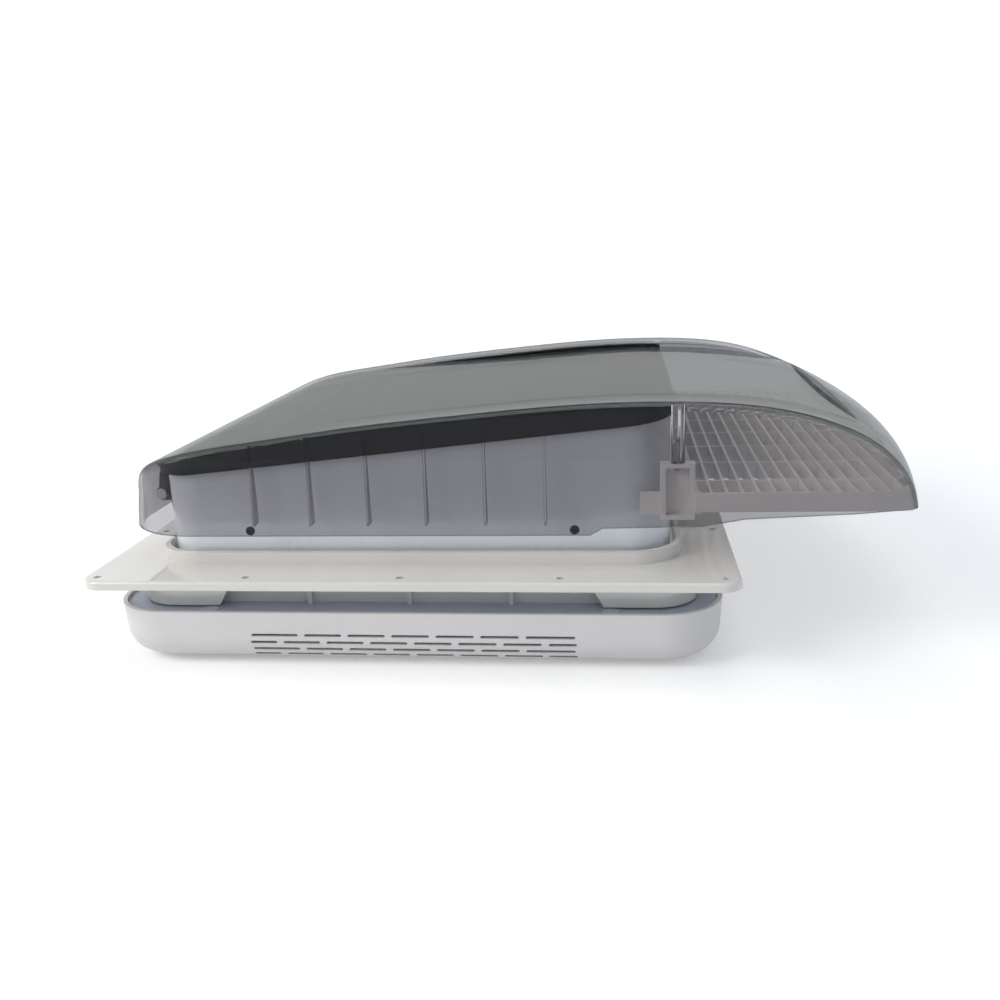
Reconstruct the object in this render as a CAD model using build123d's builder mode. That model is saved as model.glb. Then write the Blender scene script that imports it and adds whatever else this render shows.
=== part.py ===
from build123d import *
import math
import os

# Caravan roof skylight with a fan, closed, as it lies on its roof flange.
# Millimetres, +Z up, origin in the middle of the flange's underside, which lies on the roof.
# -X is the hinged nose of the hood, +X is its tail, -Y is the long side that faces the viewer.

# Roof flange
flange_side = 440.0
flange_thick = 6.0
flange_corner = 14.0
flange_edge_round = 2.0
roof_opening_side = 330.0
roof_opening_corner = 24.0
screw_pitch = 105.0
screws_per_side = 5
roof_screw_hole_r = 2.6
lip_side = 370.0
lip_wall = 4.0
lip_height = 9.0
lip_corner = 36.0
skirt_side = 390.0
skirt_wall = 3.0
skirt_depth = 20.0
skirt_corner = 30.0
notch_top_half = 121.0
notch_bottom_half = 132.0

# Fan housing, the white box under the hood
housing_side = 354.0
housing_wall = 3.0
housing_corner = 30.0
rim_nose_height = 66.0
rim_slope = 5.5
foot_thick = 3.0
foot_screw_offset = 100.0
foot_screw_inset = 4.5
foot_screw_r = 1.75
foot_head_r = 3.2
foot_head_height = 2.2
foot_head_clear = 0.2
deck_screw_x = 130.0

# Seal on the housing's rim
seal_height = 2.2
seal_gap = 0.2

# Fan deck with its throat, and the fan
deck_thick = 3.0
deck_gap = 0.5
throat_r = 153.0
throat_wall = 3.0
throat_height = 33.0
arm_width = 10.0
arm_height = 6.0
motor_r = 27.0
motor_cup_wall = 3.0
motor_height = 22.0
motor_bottom = -10.0
shaft_r = 3.0
running_gap = 0.05
motor_round = 3.0
motor_bore_start = 6.0
shaft_start = 7.0
cup_hole_gap = 2.0
hub_r = 35.0
hub_bottom = 18.0
hub_height = 24.0
hub_wall = 3.0
hub_cap = 4.0
hub_top_wall = 6.0
hub_boss_wall = 4.0
hub_round = 5.0
blade_count = 10
blade_tip_r = 149.0
blade_root_chord = 38.0
blade_tip_chord = 60.0
blade_thick = 2.4
blade_root_angle = 38.0
blade_tip_angle = 20.0

# Hood: smoked shell, its lower edge and its ribs
hood_wall = 3.0
hood_half = 196.0
hood_draft = 6.4
hood_base = 20.0
hood_nose_corner = 60.0
hood_tail_bulge = 25.0
bulge_start = 180.0
crease_round = 6.0
channel_half = 150.0
channel_profile = [(-120, 91.0), (-40, 98.0), (40, 103.2), (120, 108.3), (180, 109.0), (240, 104.5),
                   (300, 92.0)]
channel_cut_top = 150.0
hood_plan_end = 420.0
hood_nose_margin = 2.0
hood_rise = 120.0
crease_clear = 4.0
crease_off_middle = 20.0
edge_height = 30.0
edge_step_x = 124.0
edge_step = 4.5
edge_step_run = 8.0
edge_turn_x = 195.0
edge_tail_profile = [(222, 40), (290, 43), (400, 52)]
rib_count = 6
rib_pitch = 39.5
rib_middle_x = -4.0
rib_thick = 1.6
rib_depth = 7.0
rib_bottom = 36.0
rib_top = 98.0

# Rubber buffers through the hood's lower edge
buffer_places = (-104.0, 114.0)
buffer_z = 34.0
buffer_r = 2.0
buffer_head_r = 3.2
buffer_head = 1.4
buffer_gap = 0.8

# Black lid under the hood, a tray whose floor closes the housing
lid_side = 363.0
lid_corner = 33.0
lid_floor = 2.5
lid_wall = 2.5
lid_gap = 0.8
standoff_r = 6.0
standoff_half = 120.0
standoff_gap = 0.1

# Tail grille and its posts
grille_top = 56.0
grille_bottom = 44.0
grille_bar = 1.8
grille_rim = 2.6
grille_front_x = 191.0
grille_pitch_x = 10.0
grille_pitch_y = 52.0
grille_gap = 0.3
grille_arm_start = 156.0
grille_arm_half = 186.0
grille_arm_bottom = 41.0
grille_arm_overlap = 4.0
grille_rows = 7
post_x = 180.0
post_width = 22.0
post_depth = 9.0
post_half = 187.5
post_bottom = 38.0
post_top = 75.0
post_slot = 15.0
post_slot_depth = 6.5
post_cap = 3.0
boss_r = 4.5
boss_half = 183.5
boss_reach = 60.0
boss_hole_depth = 16.0
post_screw_r = 1.8
post_screw_reach = 14.0
post_head_r = 2.4
post_head_height = 2.0

# Hood hinge at the nose
hinge_x = -187.0
hinge_z = 48.0
hinge_half = 140.0
pin_r = 2.5
pin_head_r = 4.0
pin_head_height = 2.0
ear_thick = 3.0
lug_thick = 9.0
lug_gap = 0.3
lug_r = 5.0
lug_rise = 14.0
lug_under_rise = 11.0
lug_seat_rise = 24.0
lug_seat_low = 20.5
bracket_width = 28.0
bracket_height = 20.0
bracket_corner = 3.0
bracket_thick = 2.5
bracket_shift = 4.0

# Hood lift: arc racks, pinions, cross shaft
rack_r = 100.0
gear_module = 1.5
pinion_teeth = 12
rack_width = 5.0
rack_back = 7.0
rack_half = 158.5
rack_pad_length = 30.0
rack_pad_width = 13.0
rack_pad_thick = 3.0
rack_pad_inset = 4.0
rack_pad_angle = 17.0
pinion_width = 6.0
tooth_share = 0.42
pressure_angle = 20.0
cross_shaft_r = 3.0
bearing_width = 16.0
bearing_depth = 9.0
bearing_height = 24.0
bearing_corner = 4.0
shaft_end_gap = 1.0

# Room-side trim frame
trim_side = 422.0
trim_top = -19.0
trim_bottom = -57.0
trim_corner = 42.0
trim_draft = 3.0
trim_round = 20.0
trim_wall = 3.0
trim_opening = 336.0
trim_opening_corner = 20.0
upstand_side = 368.0
upstand_wall = 3.0
upstand_top = -3.0
upstand_corner = 28.0
shelf_side = 326.0
shelf_corner = 16.0
shelf_thick = 3.0
slot_height = 2.0
slot_length = 25.5
slot_pitch = 30.0
slot_row_pitch = 5.3
slot_top_z = -35.5
slot_rows = 4
slots_per_row = 7
slot_end_change = 7.0
slot_middle_x = 4.0
slot_cut_start = 190.0
slot_cut_depth = 26.0
fin_pitch = 70.0
fin_thick = 3.0
fin_depth = 4.0
trim_screw_offset = 138.0
trim_screw_half = 189.5
trim_screw_r = 1.8
trim_boss_r = 6.5
trim_boss_top = -27.0
trim_recess_r = 3.7
trim_recess = 2.2
trim_head_r = 3.5
trim_screw_stop = 6.0
skirt_boss_r = 4.5

# Insect screen and its turning latches
screen_height = 7.0
screen_clear = 0.5
screen_inner = 310.0
screen_corner = 19.0
screen_inner_corner = 12.0
mesh_thick = 0.8
mesh_grip = 2.5
mesh_gaps = 12
mesh_wire = 1.2
mesh_rim = 3.0
latch_offset = 175.0
latch_r = 8.0
latch_thick = 2.8
latch_gap = 0.3
latch_reach = 15.0
latch_tongue = 8.0
latch_post_r = 2.5
latch_collar = 1.5
latch_collar_height = 1.7

# Control pad
pad_x = 90.0
pad_y = -176.5
pad_length = 84.0
pad_width = 13.0
pad_thick = 2.0
pad_corner = 4.0
window_length = 74.0
window_width = 9.0
button_count = 5
button_pitch = 14.0
button_r = 3.6
button_hole_r = 3.75
button_collar_r = 4.3
button_travel = 1.0
button_proud = 0.8
board_thick = 1.5
board_overlap = 4.0
board_clear = 0.4
button_collar_clear = 0.1
button_collar_thick = 1.2
button_stem_r = 2.0
button_stem_clear = 0.5

# Blocks that cut pieces off at a plane, larger than any piece
cut_length = 900.0
cut_width = 600.0
cut_height = 200.0
cut_reach = 300.0

os.makedirs("parts", exist_ok=True)


def save(piece, name):
    """Label a finished piece and write it as its own file."""
    piece.part.label = name
    export_step(piece.part, "parts/" + name + ".step")


def square_ring(outer, inner, outer_corner, inner_corner):
    """Draw a square with rounded corners and a rounded square hole in the open sketch."""
    RectangleRounded(outer, outer, outer_corner)
    RectangleRounded(inner, inner, inner_corner, mode=Mode.SUBTRACT)


def four_sides(offset, half):
    """Places at +offset and -offset along each of the four sides that lie at half."""
    places = []
    for along in (-offset, offset):
        for side in (-half, half):
            places += [(along, side), (side, along)]
    return places


def rim_z(x):
    """Height of the housing's slanted rim."""
    return rim_nose_height + (x + housing_side / 2) * math.tan(math.radians(rim_slope))


# Slanted planes of the housing's rim and of the lid's floor
rim_plane = Plane(origin=(0, 0, rim_z(0)), x_dir=(math.cos(math.radians(rim_slope)), 0,
                  math.sin(math.radians(rim_slope))),
                  z_dir=(-math.sin(math.radians(rim_slope)), 0, math.cos(math.radians(rim_slope))))
lid_plane = rim_plane.offset(seal_height + seal_gap)


def above(plane, height=cut_height):
    """A large block that stands on a plane, to cut with."""
    with BuildPart(mode=Mode.PRIVATE) as block:
        with BuildSketch(plane):
            Rectangle(cut_length, cut_width)
        extrude(amount=height)
    return block.part


# Hood form: side profile of the nose, top and tail at the two long sides, as (x, z)
hood_profile = [(-205, 30), (-201, 50), (-191, 69), (-168, 81), (-110, 91.5), (-40, 100.5),
                (40, 108), (120, 113.5), (180, 114), (235, 109.5), (275, 99), (303, 84),
                (318, 68), (326, 46)]


def inset_outline(points, inset):
    """Move each point of the profile inwards, square to the line through its neighbours."""
    moved = []
    last = len(points) - 1
    for i, (x, z) in enumerate(points):
        x0, z0 = points[max(i - 1, 0)]
        x1, z1 = points[min(i + 1, last)]
        run = math.hypot(x1 - x0, z1 - z0)
        moved.append((x + inset * (z1 - z0) / run, z - inset * (x1 - x0) / run))
    return moved


def hood_form(inset):
    """The hood's outer form, or the same form made smaller all round by inset."""
    nose_x, tail_x = hood_profile[0][0], hood_profile[-1][0]
    outline = inset_outline(hood_profile, inset)
    with BuildPart(mode=Mode.PRIVATE) as form:
        for y, bulge in ((-hood_half, 0.0), (0.0, hood_tail_bulge), (hood_half, 0.0)):
            share = [max(0.0, (x - bulge_start) / (tail_x - bulge_start)) for x, z in hood_profile]
            points = [(x + bulge * s, z) for (x, z), s in zip(outline, share)]
            with BuildSketch(Plane.XZ.offset(-y)):
                with BuildLine():
                    top = Spline(*points)
                    Polyline(top @ 1, (points[-1][0], hood_base), (points[0][0], hood_base), top @ 0)
                make_face()
        loft()
        # Plan outline with its rounded nose corners and leaning side walls
        with BuildSketch(Plane.XY.offset(hood_base)):
            lean = math.tan(math.radians(hood_draft)) * (edge_height - hood_base)
            half = hood_half + lean - inset
            nose_end = nose_x - hood_nose_margin + inset
            with BuildLine():
                Polyline((hood_plan_end, half), (nose_end, half), (nose_end, -half),
                         (hood_plan_end, -half), (hood_plan_end, half))
            make_face()
            nose_corners = vertices().group_by(Axis.X)[0]
            fillet(nose_corners, hood_nose_corner - inset)
        extrude(amount=hood_rise, taper=hood_draft, mode=Mode.INTERSECT)
        # Shallow channel along the top, which starts behind the nose and runs out at the tail
        channel_width = 2 * (channel_half + inset)
        with BuildSketch(Plane.XZ.offset(channel_width / 2), mode=Mode.PRIVATE) as channel:
            with BuildLine():
                floor = Spline(*[(x, z - inset) for x, z in channel_profile])
                Polyline(floor @ 1, (channel_profile[-1][0], channel_cut_top),
                         (channel_profile[0][0], channel_cut_top), floor @ 0)
            make_face()
        if inset == 0:
            creases = [e for e in form.edges() if e.center().Z > edge_height + crease_clear
                       and e.geom_type != GeomType.LINE and abs(e.center().Y) > crease_off_middle]
            fillet(creases, crease_round)
        extrude(channel.sketch, amount=-channel_width, mode=Mode.SUBTRACT)
    return form.part


# Roof flange: plate, lip, skirt with a notch in each side, bosses for the trim's screws
foot_half = housing_side / 2 - housing_wall - foot_screw_inset
hole_row = screw_pitch * (screws_per_side - 1) / 2
hole_places = set()
for i in range(screws_per_side):
    along = -hole_row + i * screw_pitch
    hole_places |= {(along, -hole_row), (along, hole_row), (-hole_row, along), (hole_row, along)}

with BuildPart() as roof_flange:
    with BuildSketch():
        square_ring(flange_side, roof_opening_side, flange_corner, roof_opening_corner)
    extrude(amount=flange_thick)
    outer_edges = roof_flange.faces().sort_by(Axis.Z)[-1].outer_wire().edges()
    fillet(outer_edges, flange_edge_round)
    with BuildSketch(Plane.XY.offset(flange_thick)):
        square_ring(lip_side, lip_side - 2 * lip_wall, lip_corner, lip_corner - lip_wall)
    extrude(amount=lip_height)
    with BuildSketch():
        square_ring(skirt_side, skirt_side - 2 * skirt_wall, skirt_corner, skirt_corner - skirt_wall)
    extrude(amount=-skirt_depth)
    for plane in (Plane.XZ, Plane.YZ):
        with BuildSketch(plane):
            with BuildLine():
                Polyline((-notch_top_half, 0), (notch_top_half, 0), (notch_bottom_half, -skirt_depth),
                         (-notch_bottom_half, -skirt_depth), (-notch_top_half, 0))
            make_face()
        extrude(amount=flange_side / 2, both=True, mode=Mode.SUBTRACT)
    with BuildSketch():
        with Locations(*four_sides(trim_screw_offset, trim_screw_half)):
            Circle(skirt_boss_r)
    extrude(amount=-skirt_depth)
    with BuildSketch(Plane.XY.offset(-skirt_depth)):
        with Locations(*four_sides(trim_screw_offset, trim_screw_half)):
            Circle(trim_screw_r)
    extrude(amount=skirt_depth, mode=Mode.SUBTRACT)
    with BuildSketch():
        with Locations(*sorted(hole_places)):
            Circle(roof_screw_hole_r)
        with Locations(*four_sides(foot_screw_offset, foot_half)):
            Circle(foot_screw_r)
    extrude(amount=flange_thick, mode=Mode.SUBTRACT)
    # Pockets that sink the heads of the housing's screws, so the flange lies flat on the roof
    with BuildSketch():
        with Locations(*four_sides(foot_screw_offset, foot_half)):
            Circle(foot_head_r + foot_head_clear)
    extrude(amount=foot_head_clear + foot_head_height, mode=Mode.SUBTRACT)
save(roof_flange, "roof_flange")

# Fan housing: a box whose rim leans up towards the tail, on an inward foot
with BuildPart() as fan_housing:
    with BuildSketch(Plane.XY.offset(flange_thick)):
        square_ring(housing_side, housing_side - 2 * housing_wall, housing_corner,
                    housing_corner - housing_wall)
    extrude(amount=rim_z(housing_side))
    add(above(rim_plane), mode=Mode.SUBTRACT)
    with BuildSketch(Plane.XY.offset(flange_thick)):
        square_ring(housing_side - housing_wall, roof_opening_side, housing_corner - 1,
                    roof_opening_corner)
    extrude(amount=foot_thick)
    with BuildSketch(Plane.XY.offset(flange_thick)):
        with Locations(*four_sides(foot_screw_offset, foot_half)):
            Circle(foot_screw_r)
    extrude(amount=foot_thick, mode=Mode.SUBTRACT)
    with BuildSketch(Plane.XY.offset(flange_thick)):
        with Locations(*[(x, y) for x in (-deck_screw_x, deck_screw_x) for y in (-foot_half, foot_half)]):
            Circle(foot_screw_r)
    extrude(amount=foot_thick, mode=Mode.SUBTRACT)
save(fan_housing, "fan_housing")

with BuildPart() as foot_screws:
    with BuildSketch(Plane.XY.offset(foot_head_clear)):
        with Locations(*four_sides(foot_screw_offset, foot_half)):
            Circle(foot_head_r)
    extrude(amount=foot_head_height)
    with BuildSketch(Plane.XY.offset(foot_head_clear)):
        with Locations(*four_sides(foot_screw_offset, foot_half)):
            Circle(foot_screw_r)
    extrude(amount=flange_thick + foot_thick - foot_head_clear)
save(foot_screws, "foot_screws")

# Black seal that sits on the slanted rim
with BuildPart() as rim_seal:
    with BuildSketch(Plane.XY.offset(flange_thick + 20)):
        square_ring(housing_side, housing_side - 2 * housing_wall, housing_corner,
                    housing_corner - housing_wall)
    extrude(amount=rim_z(housing_side))
    add(above(rim_plane.offset(seal_height)), mode=Mode.SUBTRACT)
    with BuildSketch(rim_plane):
        Rectangle(cut_length, cut_width)
    extrude(amount=-cut_height, mode=Mode.SUBTRACT)
save(rim_seal, "rim_seal")

# Fan deck: plate on the housing's foot, throat ring, cross arms and motor cup
deck_bottom = flange_thick + foot_thick
deck_half = housing_side / 2 - housing_wall - deck_gap
cup_r = motor_r + motor_cup_wall
with BuildPart() as fan_deck:
    with BuildSketch(Plane.XY.offset(deck_bottom)):
        RectangleRounded(2 * deck_half, 2 * deck_half, housing_corner - housing_wall - deck_gap)
        Circle(throat_r, mode=Mode.SUBTRACT)
    extrude(amount=deck_thick)
    with BuildSketch(Plane.XY.offset(deck_bottom)):
        Circle(throat_r + throat_wall)
        Circle(throat_r, mode=Mode.SUBTRACT)
    extrude(amount=throat_height)
    with BuildSketch(Plane.XY.offset(deck_bottom)):
        Rectangle(2 * throat_r + throat_wall, arm_width)
        Rectangle(arm_width, 2 * throat_r + throat_wall)
    extrude(amount=arm_height)
    with BuildSketch(Plane.XY.offset(deck_bottom)):
        with Locations(*[(x, y) for x in (-deck_screw_x, deck_screw_x) for y in (-foot_half, foot_half)]):
            Circle(foot_screw_r)
    extrude(amount=deck_thick, mode=Mode.SUBTRACT)
    with BuildSketch(Plane.XY.offset(motor_bottom)):
        Circle(cup_r)
    extrude(amount=deck_bottom + arm_height - motor_bottom)
    with BuildSketch(Plane.XY.offset(motor_bottom)):
        Circle(motor_r)
    extrude(amount=motor_height, mode=Mode.SUBTRACT)
    with BuildSketch(Plane.XY.offset(motor_bottom)):
        Circle(shaft_r + cup_hole_gap)
    extrude(amount=deck_bottom + arm_height - motor_bottom, mode=Mode.SUBTRACT)
save(fan_deck, "fan_deck")

with BuildPart() as deck_screws:
    deck_screw_places = [(x, y) for x in (-deck_screw_x, deck_screw_x) for y in (-foot_half, foot_half)]
    with BuildSketch(Plane.XY.offset(flange_thick)):
        with Locations(*deck_screw_places):
            Circle(foot_screw_r)
    extrude(amount=foot_thick + deck_thick)
    with BuildSketch(Plane.XY.offset(deck_bottom + deck_thick)):
        with Locations(*deck_screw_places):
            Circle(foot_head_r)
    extrude(amount=foot_head_height)
save(deck_screws, "deck_screws")

motor_top = motor_bottom + motor_height
with BuildPart() as fan_motor:
    with BuildSketch(Plane.XY.offset(motor_bottom)):
        Circle(motor_r)
    extrude(amount=motor_height)
    lower_rim = fan_motor.faces().sort_by(Axis.Z)[0].edges()
    fillet(lower_rim, motor_round)
    with BuildSketch(Plane.XY.offset(motor_bottom + motor_bore_start)):
        Circle(shaft_r + running_gap)
    extrude(amount=motor_height, mode=Mode.SUBTRACT)
save(fan_motor, "fan_motor")

hub_top = hub_bottom + hub_height
with BuildPart() as fan_shaft:
    with BuildSketch(Plane.XY.offset(motor_bottom + shaft_start)):
        Circle(shaft_r)
    extrude(amount=hub_top - hub_cap - motor_bottom - shaft_start)
save(fan_shaft, "fan_shaft")

# One blade, twisted from its root to its tip
blade_middle = hub_bottom + hub_height / 2
with BuildPart(mode=Mode.PRIVATE) as blade:
    for radius, chord, angle in ((hub_r - hub_wall, blade_root_chord, blade_root_angle),
                                 (blade_tip_r, blade_tip_chord, blade_tip_angle)):
        chord_line = (0, math.cos(math.radians(angle)), math.sin(math.radians(angle)))
        with BuildSketch(Plane(origin=(radius, 0, blade_middle), x_dir=chord_line, z_dir=(1, 0, 0))):
            SlotOverall(chord, blade_thick)
    loft()

with BuildPart() as fan_rotor:
    with BuildSketch(Plane.XY.offset(hub_bottom)):
        Circle(hub_r)
    extrude(amount=hub_height)
    upper_rim = fan_rotor.faces().sort_by(Axis.Z)[-1].edges()
    fillet(upper_rim, hub_round)
    with BuildSketch(Plane.XY.offset(hub_bottom)):
        Circle(hub_r - hub_wall)
        Circle(shaft_r + hub_boss_wall, mode=Mode.SUBTRACT)
    extrude(amount=hub_height - hub_top_wall, mode=Mode.SUBTRACT)
    with PolarLocations(0, blade_count):
        add(blade.part)
    with BuildSketch(Plane.XY.offset(hub_bottom)):
        Circle(hub_r - hub_wall)
        Circle(shaft_r + hub_boss_wall, mode=Mode.SUBTRACT)
    extrude(amount=hub_height - hub_top_wall, mode=Mode.SUBTRACT)
    with BuildSketch(Plane.XY.offset(hub_bottom)):
        Circle(shaft_r)
    extrude(amount=hub_height - hub_cap, mode=Mode.SUBTRACT)
save(fan_rotor, "fan_rotor")

# Smoked hood: thin shell with a stepped lower edge, side ribs and two screw bosses
hood_outer = hood_form(0.0)
hood_inner = hood_form(hood_wall)

with BuildPart(mode=Mode.PRIVATE) as edge_cut:
    with BuildSketch(Plane.XZ):
        with BuildLine():
            Polyline((-cut_reach, 0), (-cut_reach, edge_height), (edge_step_x, edge_height),
                     (edge_step_x + edge_step_run, edge_height + edge_step),
                     (edge_turn_x, edge_height + edge_step + 1), *edge_tail_profile,
                     (edge_tail_profile[-1][0], 0), (-cut_reach, 0))
        make_face()
    extrude(amount=cut_reach, both=True)

rib_places = [rib_middle_x + (i - (rib_count - 1) / 2) * rib_pitch for i in range(rib_count)]
with BuildPart(mode=Mode.PRIVATE) as hood_ribs:
    for side in (-1, 1):
        with BuildSketch(Plane.XY.offset(rib_bottom)):
            with Locations(*[(x, side * (hood_half - hood_wall - rib_depth / 2)) for x in rib_places]):
                Rectangle(rib_thick, rib_depth + 2 * hood_wall)
        extrude(amount=rib_top - rib_bottom)
    with BuildSketch(Plane.XY.offset(post_top)):
        with Locations((post_x, -boss_half), (post_x, boss_half)):
            Circle(boss_r)
    extrude(amount=boss_reach)
    add(hood_outer, mode=Mode.INTERSECT)

with BuildPart() as hood_dome:
    add(hood_outer)
    add(hood_inner, mode=Mode.SUBTRACT)
    add(edge_cut.part, mode=Mode.SUBTRACT)
    add(hood_ribs.part)
    with BuildSketch(Plane.XY.offset(post_top)):
        with Locations((post_x, -boss_half), (post_x, boss_half)):
            Circle(post_screw_r)
    extrude(amount=boss_hole_depth, mode=Mode.SUBTRACT)
    with BuildSketch(Plane.XZ):
        with Locations(*[(x, buffer_z) for x in buffer_places]):
            Circle(buffer_r)
    extrude(amount=hood_half + 10, both=True, mode=Mode.SUBTRACT)
save(hood_dome, "hood_dome")

# Rubber buffers that keep the hood's edge off the housing
with BuildPart() as hood_buffers:
    for side in (-1, 1):
        with BuildSketch(Plane.XZ.offset(-side * (housing_side / 2 + buffer_gap))):
            with Locations(*[(x, buffer_z) for x in buffer_places]):
                Circle(buffer_r)
        extrude(amount=-side * (hood_half - housing_side / 2 - buffer_gap))
        with BuildSketch(Plane.XZ.offset(-side * hood_half)):
            with Locations(*[(x, buffer_z) for x in buffer_places]):
                Circle(buffer_head_r)
        extrude(amount=-side * buffer_head)
save(hood_buffers, "hood_buffers")

# Black lid: a tray that follows the underside of the hood, with two hinge lugs
lid_under = hood_form(hood_wall + lid_gap)
with BuildPart(mode=Mode.PRIVATE) as lid_hollow:
    with BuildSketch():
        RectangleRounded(lid_side - 2 * lid_wall, lid_side - 2 * lid_wall, lid_corner - lid_wall)
    extrude(amount=cut_height)
    add(above(lid_plane.offset(lid_floor)), mode=Mode.INTERSECT)

with BuildPart(mode=Mode.PRIVATE) as lid_standoffs:
    with BuildSketch():
        with GridLocations(2 * standoff_half, 2 * standoff_half, 2, 2):
            Circle(standoff_r)
    extrude(amount=cut_height)
    add(above(lid_plane.offset(lid_floor / 2)), mode=Mode.INTERSECT)
    add(hood_form(hood_wall + standoff_gap), mode=Mode.INTERSECT)

with BuildPart(mode=Mode.PRIVATE) as hinge_lugs:
    for side in (-1, 1):
        lug_middle = side * hinge_half
        with BuildSketch(Plane.XZ.offset(-lug_middle - lug_thick / 2)):
            with BuildLine():
                Polyline((hinge_x - lug_r + 0.5, hinge_z), (hinge_x - 2, hinge_z + lug_rise),
                         (-lid_side / 2 - 2, hinge_z + lug_seat_rise),
                         (-lid_side / 2 + lid_wall, hinge_z + lug_seat_rise),
                         (-lid_side / 2 + lid_wall, hinge_z + lug_seat_low),
                         (hinge_x + lug_r - 0.5, hinge_z + lug_under_rise),
                         (hinge_x + lug_r - 0.5, hinge_z), (hinge_x - lug_r + 0.5, hinge_z))
            make_face()
            with Locations((hinge_x, hinge_z)):
                Circle(lug_r)
                Circle(pin_r + running_gap, mode=Mode.SUBTRACT)
        extrude(amount=lug_thick)
    add(lid_under, mode=Mode.INTERSECT)

with BuildPart() as lid_tray:
    with BuildSketch():
        RectangleRounded(lid_side, lid_side, lid_corner)
    extrude(amount=cut_height)
    add(above(lid_plane), mode=Mode.INTERSECT)
    add(lid_under, mode=Mode.INTERSECT)
    add(lid_hollow.part, mode=Mode.SUBTRACT)
    add(lid_standoffs.part)
    add(hinge_lugs.part)
save(lid_tray, "lid_tray")

# Hinge brackets on the nose wall of the housing, and their pins
wall_x = -housing_side / 2
ear_inner = lug_thick / 2 + lug_gap
for side, place in ((-1, "front"), (1, "back")):
    middle = side * hinge_half
    with BuildPart() as bracket:
        with BuildSketch(Plane.YZ.offset(wall_x)):
            with Locations((middle - side * bracket_shift, hinge_z)):
                RectangleRounded(bracket_width, bracket_height, bracket_corner)
        extrude(amount=-bracket_thick)
        for ear in (-1, 1):
            start = middle + ear * ear_inner if ear > 0 else middle - ear_inner - ear_thick
            with BuildSketch(Plane.XZ.offset(-start - ear_thick)):
                with Locations((hinge_x, hinge_z)):
                    Circle(lug_r)
                with Locations(((hinge_x + wall_x) / 2, hinge_z)):
                    Rectangle(wall_x - hinge_x, 2 * lug_r)
                with Locations((hinge_x, hinge_z)):
                    Circle(pin_r, mode=Mode.SUBTRACT)
            extrude(amount=ear_thick)
    save(bracket, "hinge_bracket_" + place)

with BuildPart() as hinge_pins:
    for side in (-1, 1):
        reach = ear_inner + ear_thick
        with BuildSketch(Plane.XZ.offset(-side * hinge_half - reach)):
            with Locations((hinge_x, hinge_z)):
                Circle(pin_r)
        extrude(amount=2 * reach)
        head_y = -side * hinge_half + (reach + pin_head_height if side < 0 else -reach)
        with BuildSketch(Plane.XZ.offset(head_y)):
            with Locations((hinge_x, hinge_z)):
                Circle(pin_head_r)
        extrude(amount=-pin_head_height)
save(hinge_pins, "hinge_pins")

# Arc racks, centred on the hinge, that lift the hood
pitch_length = math.pi * gear_module
pinion_pitch_r = gear_module * pinion_teeth / 2
half_tooth = tooth_share * pitch_length / 2
flank = math.tan(math.radians(pressure_angle))
rack_step = math.degrees(pitch_length / rack_r)
addendum = 1.1
dedendum = 1.7
shaft_x = hinge_x + rack_r + pinion_pitch_r


def around(radius, degrees, centre_x=0.0, centre_z=0.0):
    """A point on a circle about a centre, in the plane of the side profile."""
    turn = math.radians(degrees)
    return (centre_x + radius * math.cos(turn), centre_z + radius * math.sin(turn))


def rack_tooth(index):
    """Outline of one tooth of the arc rack, from its root to its tip and back."""
    points = []
    for side, heights in ((-1, (-dedendum, addendum)), (1, (addendum, -dedendum))):
        for height in heights:
            half_width = half_tooth - height * flank
            angle = index * rack_step + side * math.degrees(half_width / rack_r)
            points.append(around(rack_r + height, angle, hinge_x, hinge_z))
    return points


rack_low = -7
rack_high = 2
low_angle = (rack_low - 0.4) * rack_step
high_angle = 20.0
for side, place in ((-1, "front"), (1, "back")):
    middle = side * rack_half
    with BuildPart() as rack:
        with BuildSketch(Plane.XZ.offset(-middle - rack_width / 2)):
            with BuildLine():
                outer_r = rack_r - dedendum + 0.05
                inner_r = rack_r - rack_back
                start, end = math.radians(low_angle), math.radians(high_angle)
                outer_arc = CenterArc((hinge_x, hinge_z), outer_r, low_angle, high_angle - low_angle)
                inner_arc = CenterArc((hinge_x, hinge_z), inner_r, low_angle, high_angle - low_angle)
                Line(outer_arc @ 0, inner_arc @ 0)
                Line(outer_arc @ 1, inner_arc @ 1)
            make_face()
            for index in range(rack_low, rack_high + 1):
                with BuildLine():
                    Polyline(*rack_tooth(index), close=True)
                make_face()
        extrude(amount=rack_width)
        top_x = hinge_x + (rack_r - rack_pad_inset) * math.cos(math.radians(rack_pad_angle))
        with BuildSketch(lid_plane):
            with Locations((top_x / math.cos(math.radians(rim_slope)), middle)):
                Rectangle(rack_pad_length, rack_pad_width)
        extrude(amount=-rack_pad_thick)
        add(above(lid_plane), mode=Mode.SUBTRACT)
    save(rack, "lift_rack_" + place)

# Cross shaft with its two pinions
base_r = pinion_pitch_r * math.cos(math.radians(pressure_angle))


def involute(angle):
    """Involute function of an angle in radians."""
    return math.tan(angle) - angle


def pinion_half_angle(radius):
    """Half the angle that a pinion tooth fills at a radius."""
    at_pitch = half_tooth / pinion_pitch_r + involute(math.radians(pressure_angle))
    slope = math.acos(base_r / max(radius, base_r))
    return math.degrees(at_pitch - involute(slope))


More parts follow.
